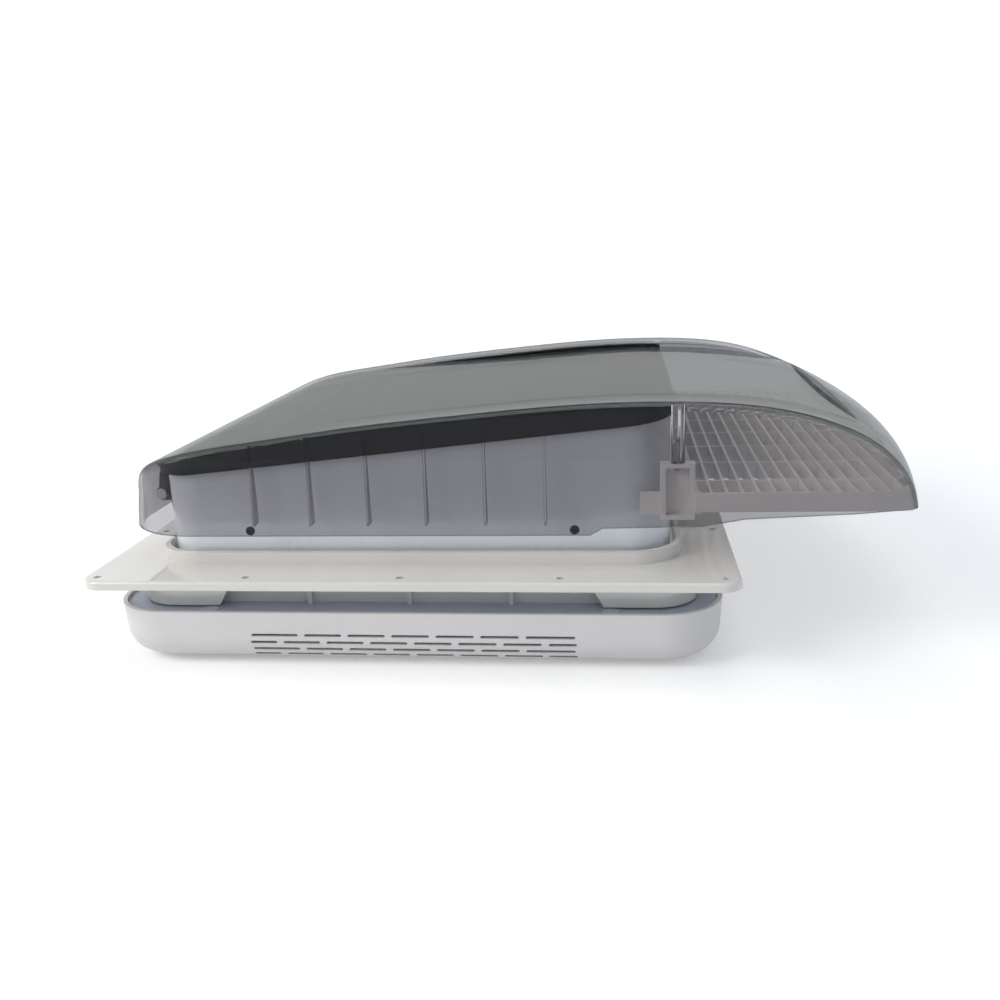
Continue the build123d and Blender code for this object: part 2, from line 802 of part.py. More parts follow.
pinion_tip = 1.3
pinion_root = 1.9
pinion_core = 1.85
pinion_radii = (pinion_pitch_r - pinion_root, base_r, pinion_pitch_r, pinion_pitch_r + pinion_tip / 2,
                pinion_pitch_r + pinion_tip)
for side, place in ((-1, "front"), (1, "back")):
    middle = side * rack_half
    with BuildPart() as pinion:
        with BuildSketch(Plane.XZ.offset(-middle - pinion_width / 2)):
            with Locations((shaft_x, hinge_z)):
                Circle(pinion_pitch_r - pinion_core)
            for tooth in range(pinion_teeth):
                centre = (tooth + 0.5) * 360 / pinion_teeth
                rising = [around(r, centre - pinion_half_angle(r), shaft_x, hinge_z)
                          for r in pinion_radii]
                falling = [around(r, centre + pinion_half_angle(r), shaft_x, hinge_z)
                           for r in reversed(pinion_radii)]
                with BuildLine():
                    Polyline(*rising, *falling, close=True)
                make_face()
            with Locations((shaft_x, hinge_z)):
                Circle(cross_shaft_r, mode=Mode.SUBTRACT)
        extrude(amount=pinion_width)
    save(pinion, "lift_pinion_" + place)

shaft_half = housing_side / 2 - housing_wall - shaft_end_gap
with BuildPart() as cross_shaft:
    with BuildSketch(Plane.XZ):
        with Locations((shaft_x, hinge_z)):
            Circle(cross_shaft_r)
    extrude(amount=shaft_half, both=True)
save(cross_shaft, "cross_shaft")

wall_inner = housing_side / 2 - housing_wall
with BuildPart() as shaft_bearings:
    for side in (-1, 1):
        with BuildSketch(Plane.XZ.offset(-side * wall_inner)):
            with Locations((shaft_x, hinge_z)):
                RectangleRounded(bearing_width, bearing_height, bearing_corner)
                Circle(cross_shaft_r + running_gap, mode=Mode.SUBTRACT)
        extrude(amount=side * bearing_depth)
save(shaft_bearings, "shaft_bearings")

# Gearbox on the cross shaft with its motor
gearbox_y = 140.0
gearbox_width = 20.0
gearbox_low = 44.0
gearbox_high = 60.0
leg_left = -125.0
leg_right = -108.0
shaft_cover = 9.0
cover_slope = 6.0
with BuildPart() as lift_gearbox:
    with BuildSketch(Plane.XZ.offset(-gearbox_y - gearbox_width / 2)):
        with BuildLine():
            Polyline((leg_left, deck_bottom + deck_thick), (leg_right, deck_bottom + deck_thick),
                     (leg_right, gearbox_low), (shaft_x + shaft_cover, gearbox_low),
                     (shaft_x + shaft_cover, gearbox_high - cover_slope),
                     (shaft_x + shaft_cover - cover_slope, gearbox_high),
                     (leg_left, gearbox_high), close=True)
        make_face()
        with Locations((shaft_x, hinge_z)):
            Circle(cross_shaft_r + running_gap, mode=Mode.SUBTRACT)
    extrude(amount=gearbox_width)
save(lift_gearbox, "lift_gearbox")

lift_motor_r = 9.0
lift_motor_length = 36.0
lift_motor_round = 2.0
lift_motor_y = gearbox_y - 1
lift_motor_z = gearbox_low + 6
with BuildPart() as lift_motor:
    with BuildSketch(Plane.YZ.offset(leg_left)):
        with Locations((lift_motor_y, lift_motor_z)):
            Circle(lift_motor_r)
    extrude(amount=-lift_motor_length)
    end_rim = lift_motor.faces().sort_by(Axis.X)[0].edges()
    fillet(end_rim, lift_motor_round)
save(lift_motor, "lift_motor")

# Tail grille: crossed bars inside a rim that follows the hood, arms and posts
grille_form = hood_form(hood_wall + grille_gap)
grille_hollow = hood_form(hood_wall + grille_gap + grille_rim)
grille_depth = grille_top - grille_bottom
tail_end = hood_profile[-1][0] + hood_tail_bulge
columns = int((tail_end - grille_front_x) / grille_pitch_x)
rows = [(i - (grille_rows - 1) / 2) * grille_pitch_y for i in range(grille_rows)]
grille_length = tail_end - grille_front_x
grille_middle_x = (grille_front_x + tail_end) / 2

with BuildPart(mode=Mode.PRIVATE) as grille_bars:
    with BuildSketch(Plane.XY.offset(grille_bottom)):
        with Locations(*[(grille_front_x + i * grille_pitch_x, 0) for i in range(1, columns + 1)]):
            Rectangle(grille_bar, 2 * hood_half)
        with Locations(*[(grille_middle_x, y) for y in rows]):
            Rectangle(grille_length, grille_bar)
        with Locations((grille_front_x + grille_rim / 2, 0)):
            Rectangle(grille_rim, 2 * hood_half)
    extrude(amount=grille_depth)
    add(grille_form, mode=Mode.INTERSECT)

with BuildPart() as tail_grille:
    with BuildSketch(Plane.XY.offset(grille_bottom)):
        with Locations((grille_middle_x, 0)):
            Rectangle(grille_length, 2 * hood_half)
    extrude(amount=grille_depth)
    add(grille_form, mode=Mode.INTERSECT)
    add(grille_hollow, mode=Mode.SUBTRACT)
    add(grille_bars.part)
    for side in (-1, 1):
        arm_length = grille_front_x + grille_arm_overlap - grille_arm_start
        with BuildSketch(Plane.XY.offset(grille_arm_bottom)):
            with Locations((grille_arm_start + arm_length / 2, side * (grille_arm_half - grille_rim / 2))):
                Rectangle(arm_length, grille_rim)
        extrude(amount=grille_top - grille_arm_bottom)
        with BuildSketch(Plane.XY.offset(post_bottom)):
            with Locations((post_x, side * (post_half - post_depth / 2))):
                Rectangle(post_width, post_depth)
        extrude(amount=post_top - post_bottom)
        with BuildSketch(Plane.XY.offset(post_bottom + post_cap)):
            with Locations((post_x, side * (post_half - post_slot_depth / 2))):
                Rectangle(post_slot, post_slot_depth)
        extrude(amount=post_top - post_bottom - 2 * post_cap, mode=Mode.SUBTRACT)
        with BuildSketch(Plane.XY.offset(post_top - post_cap)):
            with Locations((post_x, side * boss_half)):
                Circle(post_screw_r)
        extrude(amount=post_cap, mode=Mode.SUBTRACT)
save(tail_grille, "tail_grille")

with BuildPart() as post_screws:
    screw_top = post_top + post_screw_reach
    with BuildSketch(Plane.XY.offset(post_top - post_cap)):
        with Locations((post_x, -boss_half), (post_x, boss_half)):
            Circle(post_screw_r)
    extrude(amount=screw_top - post_top + post_cap)
    with BuildSketch(Plane.XY.offset(post_top - post_cap - post_head_height)):
        with Locations((post_x, -boss_half), (post_x, boss_half)):
            Circle(post_head_r)
    extrude(amount=post_head_height)
save(post_screws, "post_screws")


def trim_form(inset):
    """Outer form of the trim frame, or the same form made smaller by inset."""
    with BuildPart(mode=Mode.PRIVATE) as form:
        with BuildSketch(Plane.XY.offset(trim_top)):
            side = trim_side - 2 * inset
            RectangleRounded(side, side, trim_corner - inset)
        extrude(amount=-(trim_top - trim_bottom - inset), taper=trim_draft)
        fillet(form.faces().sort_by(Axis.Z)[0].edges(), trim_round - inset)
    return form.part


# Room-side trim frame: a tray with an opening, an inner upstand, fins and air slots
latch_places = [(latch_offset, 0), (0, latch_offset), (-latch_offset, 0), (0, -latch_offset)]
plate_top = trim_bottom + trim_wall
shelf_bottom = trim_bottom + screen_height
with BuildPart() as trim_frame:
    add(trim_form(0.0))
    add(trim_form(trim_wall), mode=Mode.SUBTRACT)
    with BuildSketch(Plane.XY.offset(trim_bottom)):
        RectangleRounded(trim_opening, trim_opening, trim_opening_corner)
    extrude(amount=2 * trim_wall, mode=Mode.SUBTRACT)
    with BuildSketch(Plane.XY.offset(plate_top - trim_wall / 2)):
        square_ring(upstand_side, upstand_side - 2 * upstand_wall, upstand_corner,
                    upstand_corner - upstand_wall)
    extrude(amount=upstand_top - plate_top + trim_wall / 2)
    with BuildSketch(Plane.XY.offset(shelf_bottom)):
        square_ring(upstand_side, shelf_side, upstand_corner, shelf_corner)
    extrude(amount=shelf_thick)
    # Fins on the upstand
    with BuildSketch(Plane.XY.offset(trim_boss_top + 2)):
        fin_half = upstand_side / 2 + fin_depth / 2 - 0.5
        with Locations(*[(i * fin_pitch, side * fin_half) for i in (-1, 0, 1) for side in (-1, 1)]):
            Rectangle(fin_thick, fin_depth + 1)
        with Locations(*[(side * fin_half, i * fin_pitch) for i in (-1, 0, 1) for side in (-1, 1)]):
            Rectangle(fin_depth + 1, fin_thick)
    extrude(amount=upstand_top - 1 - trim_boss_top - 2)
    # Bosses for the long screws
    with BuildSketch(Plane.XY.offset(plate_top - 1)):
        with Locations(*four_sides(trim_screw_offset, trim_screw_half)):
            Circle(trim_boss_r)
    extrude(amount=trim_boss_top - plate_top + 1)
    with BuildSketch(Plane.XY.offset(trim_bottom)):
        with Locations(*four_sides(trim_screw_offset, trim_screw_half)):
            Circle(trim_screw_r + 0.2)
    extrude(amount=trim_boss_top - trim_bottom, mode=Mode.SUBTRACT)
    with BuildSketch(Plane.XY.offset(trim_bottom)):
        with Locations(*four_sides(trim_screw_offset, trim_screw_half)):
            Circle(trim_recess_r)
    extrude(amount=trim_recess, mode=Mode.SUBTRACT)
    # Window under the control pad and holes for the latches
    with BuildSketch(Plane.XY.offset(trim_bottom)):
        with Locations((pad_x, pad_y)):
            Rectangle(window_length, window_width)
        with Locations(*latch_places):
            Circle(latch_post_r + running_gap)
    extrude(amount=trim_wall, mode=Mode.SUBTRACT)
    # Air slots in staggered rows along the two long sides
    for row in range(slot_rows):
        short_row = row % 2 == 1
        count = slots_per_row + (1 if short_row else 0)
        change = -slot_end_change if short_row else slot_end_change
        for side in (-1, 1):
            with BuildSketch(Plane.XZ.offset(-side * slot_cut_start)):
                for i in range(count):
                    x = slot_middle_x + (i - (count - 1) / 2) * slot_pitch
                    end = -1 if i == 0 else 1 if i == count - 1 else 0
                    length = slot_length + (change if end else 0)
                    with Locations((x + end * change / 2, slot_top_z - row * slot_row_pitch)):
                        SlotOverall(length, slot_height)
            extrude(amount=-side * slot_cut_depth, mode=Mode.SUBTRACT)
save(trim_frame, "trim_frame")

with BuildPart() as trim_screws:
    with BuildSketch(Plane.XY.offset(trim_bottom)):
        with Locations(*four_sides(trim_screw_offset, trim_screw_half)):
            Circle(trim_head_r)
    extrude(amount=trim_recess)
    with BuildSketch(Plane.XY.offset(trim_bottom)):
        with Locations(*four_sides(trim_screw_offset, trim_screw_half)):
            Circle(trim_screw_r)
    extrude(amount=-trim_bottom - trim_screw_stop)
save(trim_screws, "trim_screws")

# Insect screen: frame that rests against the trim's shelf, with a net in its groove
screen_outer = trim_opening - 2 * screen_clear
mesh_z = trim_bottom + screen_height / 2 - mesh_thick / 2
mesh_side = screen_inner + 2 * mesh_grip
with BuildPart() as screen_frame:
    with BuildSketch(Plane.XY.offset(trim_bottom)):
        square_ring(screen_outer, screen_inner, screen_corner, screen_inner_corner)
    extrude(amount=screen_height)
    with BuildSketch(Plane.XY.offset(mesh_z)):
        RectangleRounded(mesh_side, mesh_side, screen_inner_corner)
    extrude(amount=mesh_thick, mode=Mode.SUBTRACT)
save(screen_frame, "screen_frame")

with BuildPart() as screen_mesh:
    with BuildSketch(Plane.XY.offset(mesh_z)):
        RectangleRounded(mesh_side, mesh_side, screen_inner_corner)
        gap = (screen_inner - 2 * mesh_rim) / mesh_gaps
        with GridLocations(gap, gap, mesh_gaps, mesh_gaps):
            Rectangle(gap - mesh_wire, gap - mesh_wire, mode=Mode.SUBTRACT)
    extrude(amount=mesh_thick)
save(screen_mesh, "screen_mesh")

# Turning latches, whose tongues lie under the edge of the screen
latch_top = trim_bottom - latch_gap
for (x, y), place in zip(latch_places, ("tail", "back", "nose", "front")):
    turn = math.degrees(math.atan2(-y, -x))
    with BuildPart() as latch:
        with BuildSketch(Plane.XY.offset(latch_top)):
            with Locations((x, y)):
                Circle(latch_r)
            with Locations(Location((x, y, 0), (0, 0, turn))):
                with Locations((latch_reach / 2, 0)):
                    Rectangle(latch_reach, latch_tongue)
        extrude(amount=-latch_thick)
        with BuildSketch(Plane.XY.offset(latch_top)):
            with Locations((x, y)):
                Circle(latch_post_r)
        extrude(amount=latch_gap + trim_wall + latch_gap + latch_collar_height)
        with BuildSketch(Plane.XY.offset(plate_top + latch_gap)):
            with Locations((x, y)):
                Circle(latch_post_r + latch_collar)
        extrude(amount=latch_collar_height)
    save(latch, "screen_latch_" + place)

# Control pad on the trim, its circuit board and its buttons
button_places = [pad_x + (i - (button_count - 1) / 2) * button_pitch for i in range(button_count)]
with BuildPart() as control_pad:
    with BuildSketch(Plane.XY.offset(trim_bottom - pad_thick)):
        with Locations((pad_x, pad_y)):
            RectangleRounded(pad_length, pad_width, pad_corner)
        with Locations(*[(x, pad_y) for x in button_places]):
            Circle(button_hole_r, mode=Mode.SUBTRACT)
    extrude(amount=pad_thick)
save(control_pad, "control_pad")

with BuildPart() as control_board:
    with BuildSketch(Plane.XY.offset(shelf_bottom - board_thick)):
        with Locations((pad_x, pad_y)):
            Rectangle(window_length + board_overlap, window_width - board_clear)
    extrude(amount=board_thick)
save(control_board, "control_board")

button_low = trim_bottom - pad_thick - button_proud
collar_low = trim_bottom + button_collar_clear
collar_high = collar_low + button_collar_thick
button_high = shelf_bottom - board_thick - button_travel - button_stem_clear
for i, name in enumerate(("power", "lid", "slower", "faster", "mode")):
    place = (button_places[i], pad_y)
    with BuildPart() as button:
        with BuildSketch(Plane.XY.offset(button_low)):
            with Locations(place):
                Circle(button_r)
        extrude(amount=collar_low - button_low)
        with BuildSketch(Plane.XY.offset(collar_low)):
            with Locations(place):
                Circle(button_collar_r)
        extrude(amount=button_collar_thick)
        with BuildSketch(Plane.XY.offset(collar_high)):
            with Locations(place):
                Circle(button_stem_r)
        extrude(amount=button_high - collar_high)
    save(button, "button_" + name)
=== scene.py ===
# %% [markdown]
# A caravan roof skylight vent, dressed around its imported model. The model already has every hard
# piece at its real size: the screw-down flange, the white box with the fan, the smoked hood with its
# black lid and its tail grille, and the slotted frame that shows inside the caravan. This script
# gives them the finishes of the real thing, adds the small pieces that the model leaves plain, and
# sets up light and camera as in the photograph.

# %% Load the frame
import math

import bmesh
import bpy
from mathutils import Matrix, Vector


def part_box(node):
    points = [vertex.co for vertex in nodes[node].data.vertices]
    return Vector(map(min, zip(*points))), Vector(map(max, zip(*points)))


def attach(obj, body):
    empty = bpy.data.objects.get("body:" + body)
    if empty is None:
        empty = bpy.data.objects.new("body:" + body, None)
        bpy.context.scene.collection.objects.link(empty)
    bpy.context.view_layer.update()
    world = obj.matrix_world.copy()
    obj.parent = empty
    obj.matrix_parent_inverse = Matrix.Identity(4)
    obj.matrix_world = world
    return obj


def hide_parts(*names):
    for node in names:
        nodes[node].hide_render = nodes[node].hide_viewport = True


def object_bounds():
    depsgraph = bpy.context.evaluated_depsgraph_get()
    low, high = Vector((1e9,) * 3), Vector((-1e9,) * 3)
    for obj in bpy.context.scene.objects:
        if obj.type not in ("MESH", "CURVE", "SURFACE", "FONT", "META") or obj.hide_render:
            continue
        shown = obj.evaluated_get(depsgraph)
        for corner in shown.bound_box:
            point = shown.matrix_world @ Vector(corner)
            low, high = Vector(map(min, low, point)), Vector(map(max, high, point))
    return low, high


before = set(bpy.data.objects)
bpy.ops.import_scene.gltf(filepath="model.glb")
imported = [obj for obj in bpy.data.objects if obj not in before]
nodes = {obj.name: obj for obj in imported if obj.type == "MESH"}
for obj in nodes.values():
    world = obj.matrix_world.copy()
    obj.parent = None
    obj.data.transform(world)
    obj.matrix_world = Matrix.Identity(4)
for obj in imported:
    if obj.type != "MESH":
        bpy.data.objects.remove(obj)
cad_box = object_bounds()
print("pieces in the packed model:", len(nodes))

# %% [markdown]
# The photograph was taken from a little above the flange, slightly right of the middle. A camera can
# be turned by eye until the picture fits, but here it was worked out: the flange's screw holes form
# a square grid, and only one place, direction and lens show that grid as the photograph does. The
# three directions below are what that camera sees as right, up and ahead.

# %% Camera
view_right = Vector((0.99236, 0.11686, -0.04004))
view_up = Vector((0.00727, 0.26828, 0.96327))
view_ahead = Vector((-0.1233, 0.9562, -0.2654))
camera_place = Vector((0.1451, -0.8074, 0.2241))

camera_data = bpy.data.cameras.new("photo_camera")
camera_data.sensor_width = 36.0
camera_data.lens = 35.6
camera_data.clip_start = 0.01
camera = bpy.data.objects.new("photo_camera", camera_data)
turn = Matrix((view_right, view_up, -view_ahead)).transposed().to_4x4()
camera.matrix_world = Matrix.Translation(camera_place) @ turn
bpy.context.scene.collection.objects.link(camera)
bpy.context.scene.camera = camera
bpy.context.scene.view_settings.view_transform = "Standard"
print("camera", round(camera_place.length, 3), "m from the origin")

# %% [markdown]
# Every finish is a small node tree. Such trees could be wired one link at a time, but then the links
# hide the idea. These helpers keep each tree to a few lines: one makes a node and takes its inputs
# as numbers or as sockets of other nodes, and the others make the few patterns that plastics need.

# %% Helpers for node trees
def add_node(tree, kind, inputs=None, **settings):
    """Make a node, with settings as attributes and inputs by name or number."""
    node = tree.nodes.new(kind)
    for key, value in settings.items():
        setattr(node, key, value)
    for key, value in (inputs or {}).items():
        if isinstance(value, bpy.types.NodeSocket):
            tree.links.new(value, node.inputs[key])
        else:
            node.inputs[key].default_value = value
    return node


def start_material(name, colour, roughness, **more):
    """A material with one Principled shader whose plain values are set on its sockets."""
    material = bpy.data.materials.new(name)
    material.use_nodes = True
    tree = material.node_tree
    shader = tree.nodes["Principled BSDF"]
    shader.inputs["Base Color"].default_value = (*colour, 1.0)
    shader.inputs["Roughness"].default_value = roughness
    for key, value in more.items():
        shader.inputs[key.replace("_", " ")].default_value = value
    place = add_node(tree, "ShaderNodeTexCoord").outputs["Object"]
    return material, tree, shader, place


def noise(tree, place, scale, detail=3.0, roughness=0.5):
    """A noise value from 0 to 1 on the piece's own coordinates, in features per metre."""
    inputs = {"Vector": place, "Scale": scale, "Detail": detail, "Roughness": roughness}
    return add_node(tree, "ShaderNodeTexNoise", inputs).outputs["Fac"]


def ramp(tree, factor, low, high, start=0.3, end=0.7):
    """Map a factor's range from start to end onto values from low to high."""
    inputs = {"Value": factor, "From Min": start, "From Max": end, "To Min": low, "To Max": high}
    return add_node(tree, "ShaderNodeMapRange", inputs).outputs["Result"]


def mix_colours(tree, factor, first, second):
    """Blend two colours by a factor."""
    node = add_node(tree, "ShaderNodeMix", data_type="RGBA")
    # A Mix node has sockets for numbers, vectors and colours; these are the ones for colours
    first_input, second_input, result = node.inputs[6], node.inputs[7], node.outputs[2]
    tree.links.new(factor, node.inputs[0])
    first_input.default_value = (*first, 1.0)
    second_input.default_value = (*second, 1.0)
    return result


def soft_edges(tree, radius):
    """Normals that round the hard edges of a moulding in the shading."""
    return add_node(tree, "ShaderNodeBevel", {"Radius": radius}, samples=6).outputs["Normal"]


def bump(tree, height, strength, distance, normal=None):
    """Surface relief from a height in metres times distance."""
    inputs = {"Height": height, "Strength": strength, "Distance": distance}
    if normal is not None:
        inputs["Normal"] = normal
    return add_node(tree, "ShaderNodeBump", inputs).outputs["Normal"]


def dress(names, material):
    """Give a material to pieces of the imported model."""
    for name in names:
        mesh = nodes[name].data
        mesh.materials.clear()
        mesh.materials.append(material)
    print(material.name, "on", len(names), "pieces")


# %% [markdown]
# The flange and the box under the hood are glossy injection mouldings, the flange a little warmer.
# A plain white shader with low roughness would look like glass, because real gloss mouldings are
# never perfectly flat: a faint orange peel bends the reflections, and handling leaves patches that
# are a touch duller. Both come from noise, and a clear coat gives the sharp highlight on top.

# %% Glossy white mouldings
gloss_patch_scale = 9.0
smear_scale = 35.0
peel_scale = 120.0
peel_depth = 0.0002
gloss_edge = 0.0006
clean_share = 0.8
smeared_share = 1.5


def gloss_plastic(name, colour, tint, roughness, peel):
    """A glossy moulding with faint orange peel and handling marks."""
    material, tree, shader, place = start_material(name, colour, roughness, Coat_Weight=0.8,
                                                   Coat_Roughness=0.03)
    patches = noise(tree, place, gloss_patch_scale, 4.0)
    tree.links.new(mix_colours(tree, ramp(tree, patches, 0.0, 1.0), colour, tint),
                   shader.inputs["Base Color"])
    smears = noise(tree, place, smear_scale, 5.0, 0.6)
    tree.links.new(ramp(tree, smears, roughness * clean_share, roughness * smeared_share),
                   shader.inputs["Roughness"])
    relief = noise(tree, place, peel_scale, 2.0)
    tree.links.new(bump(tree, relief, peel, peel_depth, soft_edges(tree, gloss_edge)),
                   shader.inputs["Normal"])
    return material


flange_white = gloss_plastic("flange_white", (0.80, 0.775, 0.74), (0.76, 0.735, 0.70), 0.1, 0.03)
housing_white = gloss_plastic("housing_white", (0.74, 0.78, 0.83), (0.71, 0.75, 0.80), 0.2, 0.035)
dress(["roof_flange"], flange_white)
dress(["fan_housing", "fan_deck"], housing_white)

# %% [markdown]
# The room-side frame, the fan, the grille and the black and grey plastics are satin. The moulds of
# such pieces are spark-eroded, which leaves a fine even grain. Roughness alone would blur the
# highlight evenly, so a very fine bump does part of the work and breaks it up, as the grain does.

# %% Satin mouldings
satin_patch_scale = 14.0
wipe_scale = 50.0
grain_depth = 0.00008
satin_edge = 0.0005
wiped_share = 0.85
dull_share = 1.2


def satin_plastic(name, colour, tint, roughness, grain=0.25, grain_scale=1900.0, shine=0.5):
    """A satin moulding with a spark-eroded grain."""
    material, tree, shader, place = start_material(name, colour, roughness,
                                                   Specular_IOR_Level=shine)
    patches = noise(tree, place, satin_patch_scale, 4.0)
    tree.links.new(mix_colours(tree, ramp(tree, patches, 0.0, 1.0), colour, tint),
                   shader.inputs["Base Color"])
    wipes = noise(tree, place, wipe_scale, 4.0)
    tree.links.new(ramp(tree, wipes, roughness * wiped_share, roughness * dull_share),
                   shader.inputs["Roughness"])
    relief = noise(tree, place, grain_scale, 2.0)
    tree.links.new(bump(tree, relief, grain, grain_depth, soft_edges(tree, satin_edge)),
                   shader.inputs["Normal"])
    return material


trim_white = satin_plastic("trim_white", (0.79, 0.765, 0.765), (0.76, 0.735, 0.735), 0.36)
grille_white = satin_plastic("grille_white", (0.90, 0.885, 0.87), (0.86, 0.845, 0.83), 0.42)
fan_white = satin_plastic("fan_white", (0.72, 0.73, 0.74), (0.69, 0.70, 0.71), 0.4)
black_plastic = satin_plastic("black_plastic", (0.008, 0.011, 0.015), (0.013, 0.016, 0.021), 0.45,
                              grain=0.03, grain_scale=1200.0, shine=0.25)
latch_grey = satin_plastic("latch_grey", (0.45, 0.45, 0.46), (0.41, 0.41, 0.42), 0.38)
gear_nylon = satin_plastic("gear_nylon", (0.66, 0.63, 0.55), (0.62, 0.59, 0.50), 0.45,
                           grain=0.15, grain_scale=900.0)
dress(["trim_frame", "screen_frame"], trim_white)
dress(["tail_grille"], grille_white)
dress(["fan_rotor"], fan_white)
dress(["lid_tray", "hinge_bracket_front", "hinge_bracket_back", "shaft_bearings", "lift_gearbox",
       "control_pad"], black_plastic)
dress([name for name in nodes if name.startswith(("screen_latch", "button_"))], latch_grey)
dress(["lift_rack_front", "lift_rack_back", "lift_pinion_front", "lift_pinion_back"], gear_nylon)

# %% [markdown]
# The hood is smoked acrylic, 3 mm thick. Light that crosses the wall loses about half. At a grazing
# angle such a wall mirrors whatever is round it, and a white studio would turn the top white, so a
# Layer Weight node blends in a dark see-through shader there. Lamps can't shine through a refracting
# shell in a path tracer, so rays from lamps meet a tinted Transparent shader in place of the glass.

# %% Smoked acrylic
haze_scale = 28.0
most_haze = 0.03
ripple_scale = 16.0
ripple_depth = 0.0015
face_on = 0.5
grazing = 0.9
most_dark = 0.6


def smoked_acrylic(name, tint, edge_tint, lamp_tint):
    """A see-through tinted shell that stays dark at a grazing angle and lets the lamps through."""
    material, tree, shader, place = start_material(name, tint, 0.02, Transmission_Weight=1.0,
                                                   IOR=1.25)
    haze = noise(tree, place, haze_scale, 5.0, 0.65)
    tree.links.new(ramp(tree, haze, 0.0, most_haze), shader.inputs["Roughness"])
    ripple = noise(tree, place, ripple_scale, 1.0)
    tree.links.new(bump(tree, ripple, 0.15, ripple_depth), shader.inputs["Normal"])
    facing = add_node(tree, "ShaderNodeLayerWeight", {"Blend": 0.5}).outputs["Facing"]
    darkness = ramp(tree, facing, 0.0, most_dark, face_on, grazing)
    dark = add_node(tree, "ShaderNodeBsdfTransparent", {"Color": (*edge_tint, 1.0)})
    body = add_node(tree, "ShaderNodeMixShader",
                    {0: darkness, 1: shader.outputs[0], 2: dark.outputs[0]})
    clear = add_node(tree, "ShaderNodeBsdfTransparent", {"Color": (*lamp_tint, 1.0)})
    path = add_node(tree, "ShaderNodeLightPath")
    mix = add_node(tree, "ShaderNodeMixShader",
                   {0: path.outputs["Is Shadow Ray"], 1: body.outputs[0], 2: clear.outputs[0]})
    tree.links.new(mix.outputs[0], tree.nodes["Material Output"].inputs["Surface"])
    return material


smoke = smoked_acrylic("smoked_acrylic", tint=(0.49, 0.48, 0.50), edge_tint=(0.34, 0.38, 0.37),
                       lamp_tint=(0.79, 0.79, 0.80))
dress(["hood_dome"], smoke)

# %% [markdown]
# Rubber is nearly black and dull, with dust in its pores. Steel shafts are ground, so their sheen
# has fine lines along them: noise that is stretched one way gives such lines without any picture.
# The screws are zinc plated, greyer and rougher, with a finer noise.

# %% Rubber and steel
dust_scale = 600.0
dust_share = 0.35
dust_start = 0.5
dust_full = 0.8
pore_scale = 1500.0
pore_depth = 0.0001
line_squeeze = 12.0
line_depth = 0.00005
metal_edge = 0.0003
bright_share = 0.7
worn_share = 1.5


def dusty_rubber(name, colour, dust_colour):
    """Dull black rubber with grey dust in its pores."""
    material, tree, shader, place = start_material(name, colour, 0.7)
    specks = noise(tree, place, dust_scale, 4.0, 0.7)
    dust = ramp(tree, specks, 0.0, dust_share, dust_start, dust_full)
    tree.links.new(mix_colours(tree, dust, colour, dust_colour), shader.inputs["Base Color"])
    tree.links.new(bump(tree, noise(tree, place, pore_scale), 0.3, pore_depth),
                   shader.inputs["Normal"])
    return material


def worked_metal(name, colour, roughness, scale):
    """Ground or plated metal, with lines that follow the stretched noise."""
    material, tree, shader, place = start_material(name, colour, roughness, Metallic=1.0)
    stretched = add_node(tree, "ShaderNodeMapping",
                         {"Vector": place, "Scale": (1.0, line_squeeze, line_squeeze)})
    lines = noise(tree, stretched.outputs["Vector"], scale, 4.0, 0.6)
    tree.links.new(ramp(tree, lines, roughness * bright_share, roughness * worn_share),
                   shader.inputs["Roughness"])
    tree.links.new(bump(tree, lines, 0.15, line_depth, soft_edges(tree, metal_edge)),
                   shader.inputs["Normal"])
    return material


rubber = dusty_rubber("seal_rubber", (0.013, 0.013, 0.014), (0.09, 0.09, 0.09))
shaft_steel = worked_metal("shaft_steel", (0.56, 0.56, 0.58), 0.28, 300.0)
screw_zinc = worked_metal("screw_zinc", (0.46, 0.46, 0.48), 0.35, 500.0)
dress(["rim_seal"], rubber)
dress(["fan_shaft", "cross_shaft", "hinge_pins"], shaft_steel)

# %% [markdown]
# The motors, the insect net and the circuit board are small and half hidden, so the satin finish
# from above serves them too, in their own colours.

# %% Motors, net and board
motor_black = satin_plastic("motor_black", (0.02, 0.02, 0.022), (0.03, 0.03, 0.032), 0.4)
mesh_grey = satin_plastic("mesh_grey", (0.10, 0.10, 0.105), (0.13, 0.13, 0.135), 0.5)
board_green = satin_plastic("board_green", (0.02, 0.12, 0.05), (0.03, 0.15, 0.07), 0.3)
dress(["fan_motor", "lift_motor"], motor_black)
dress(["control_board"], board_green)

# %% [markdown]
# Small hardware repeats, so Geometry Nodes make it: one shape is put on many points, and a change of
# one input changes them all. Each tree has named inputs for its sizes, and the finished geometry is
# copied out as a plain mesh, because the export knows no instances.

# %% Helpers for Geometry Nodes
def start_tree(name, inputs):
    """A geometry tree with named inputs; returns the tree, its input sockets and its output."""
    tree = bpy.data.node_groups.new(name, "GeometryNodeTree")
    tree.interface.new_socket(name="Geometry", in_out="OUTPUT", socket_type="NodeSocketGeometry")
    tree.interface.new_socket(name="Seats", in_out="INPUT", socket_type="NodeSocketGeometry")
    for label in inputs:
        tree.interface.new_socket(name=label, in_out="INPUT", socket_type="NodeSocketFloat")
    tree.interface.new_socket(name="Finish", in_out="INPUT", socket_type="NodeSocketMaterial")
    return tree, add_node(tree, "NodeGroupInput").outputs, add_node(tree, "NodeGroupOutput")


def end_tree(tree, geometry, finish, output):
    """Realize the instances, set the material and join the result to the tree's output."""
    real = add_node(tree, "GeometryNodeRealizeInstances", {"Geometry": geometry})
    painted = add_node(tree, "GeometryNodeSetMaterial",
                       {"Geometry": real.outputs[0], "Material": finish})
    tree.links.new(painted.outputs[0], output.inputs[0])


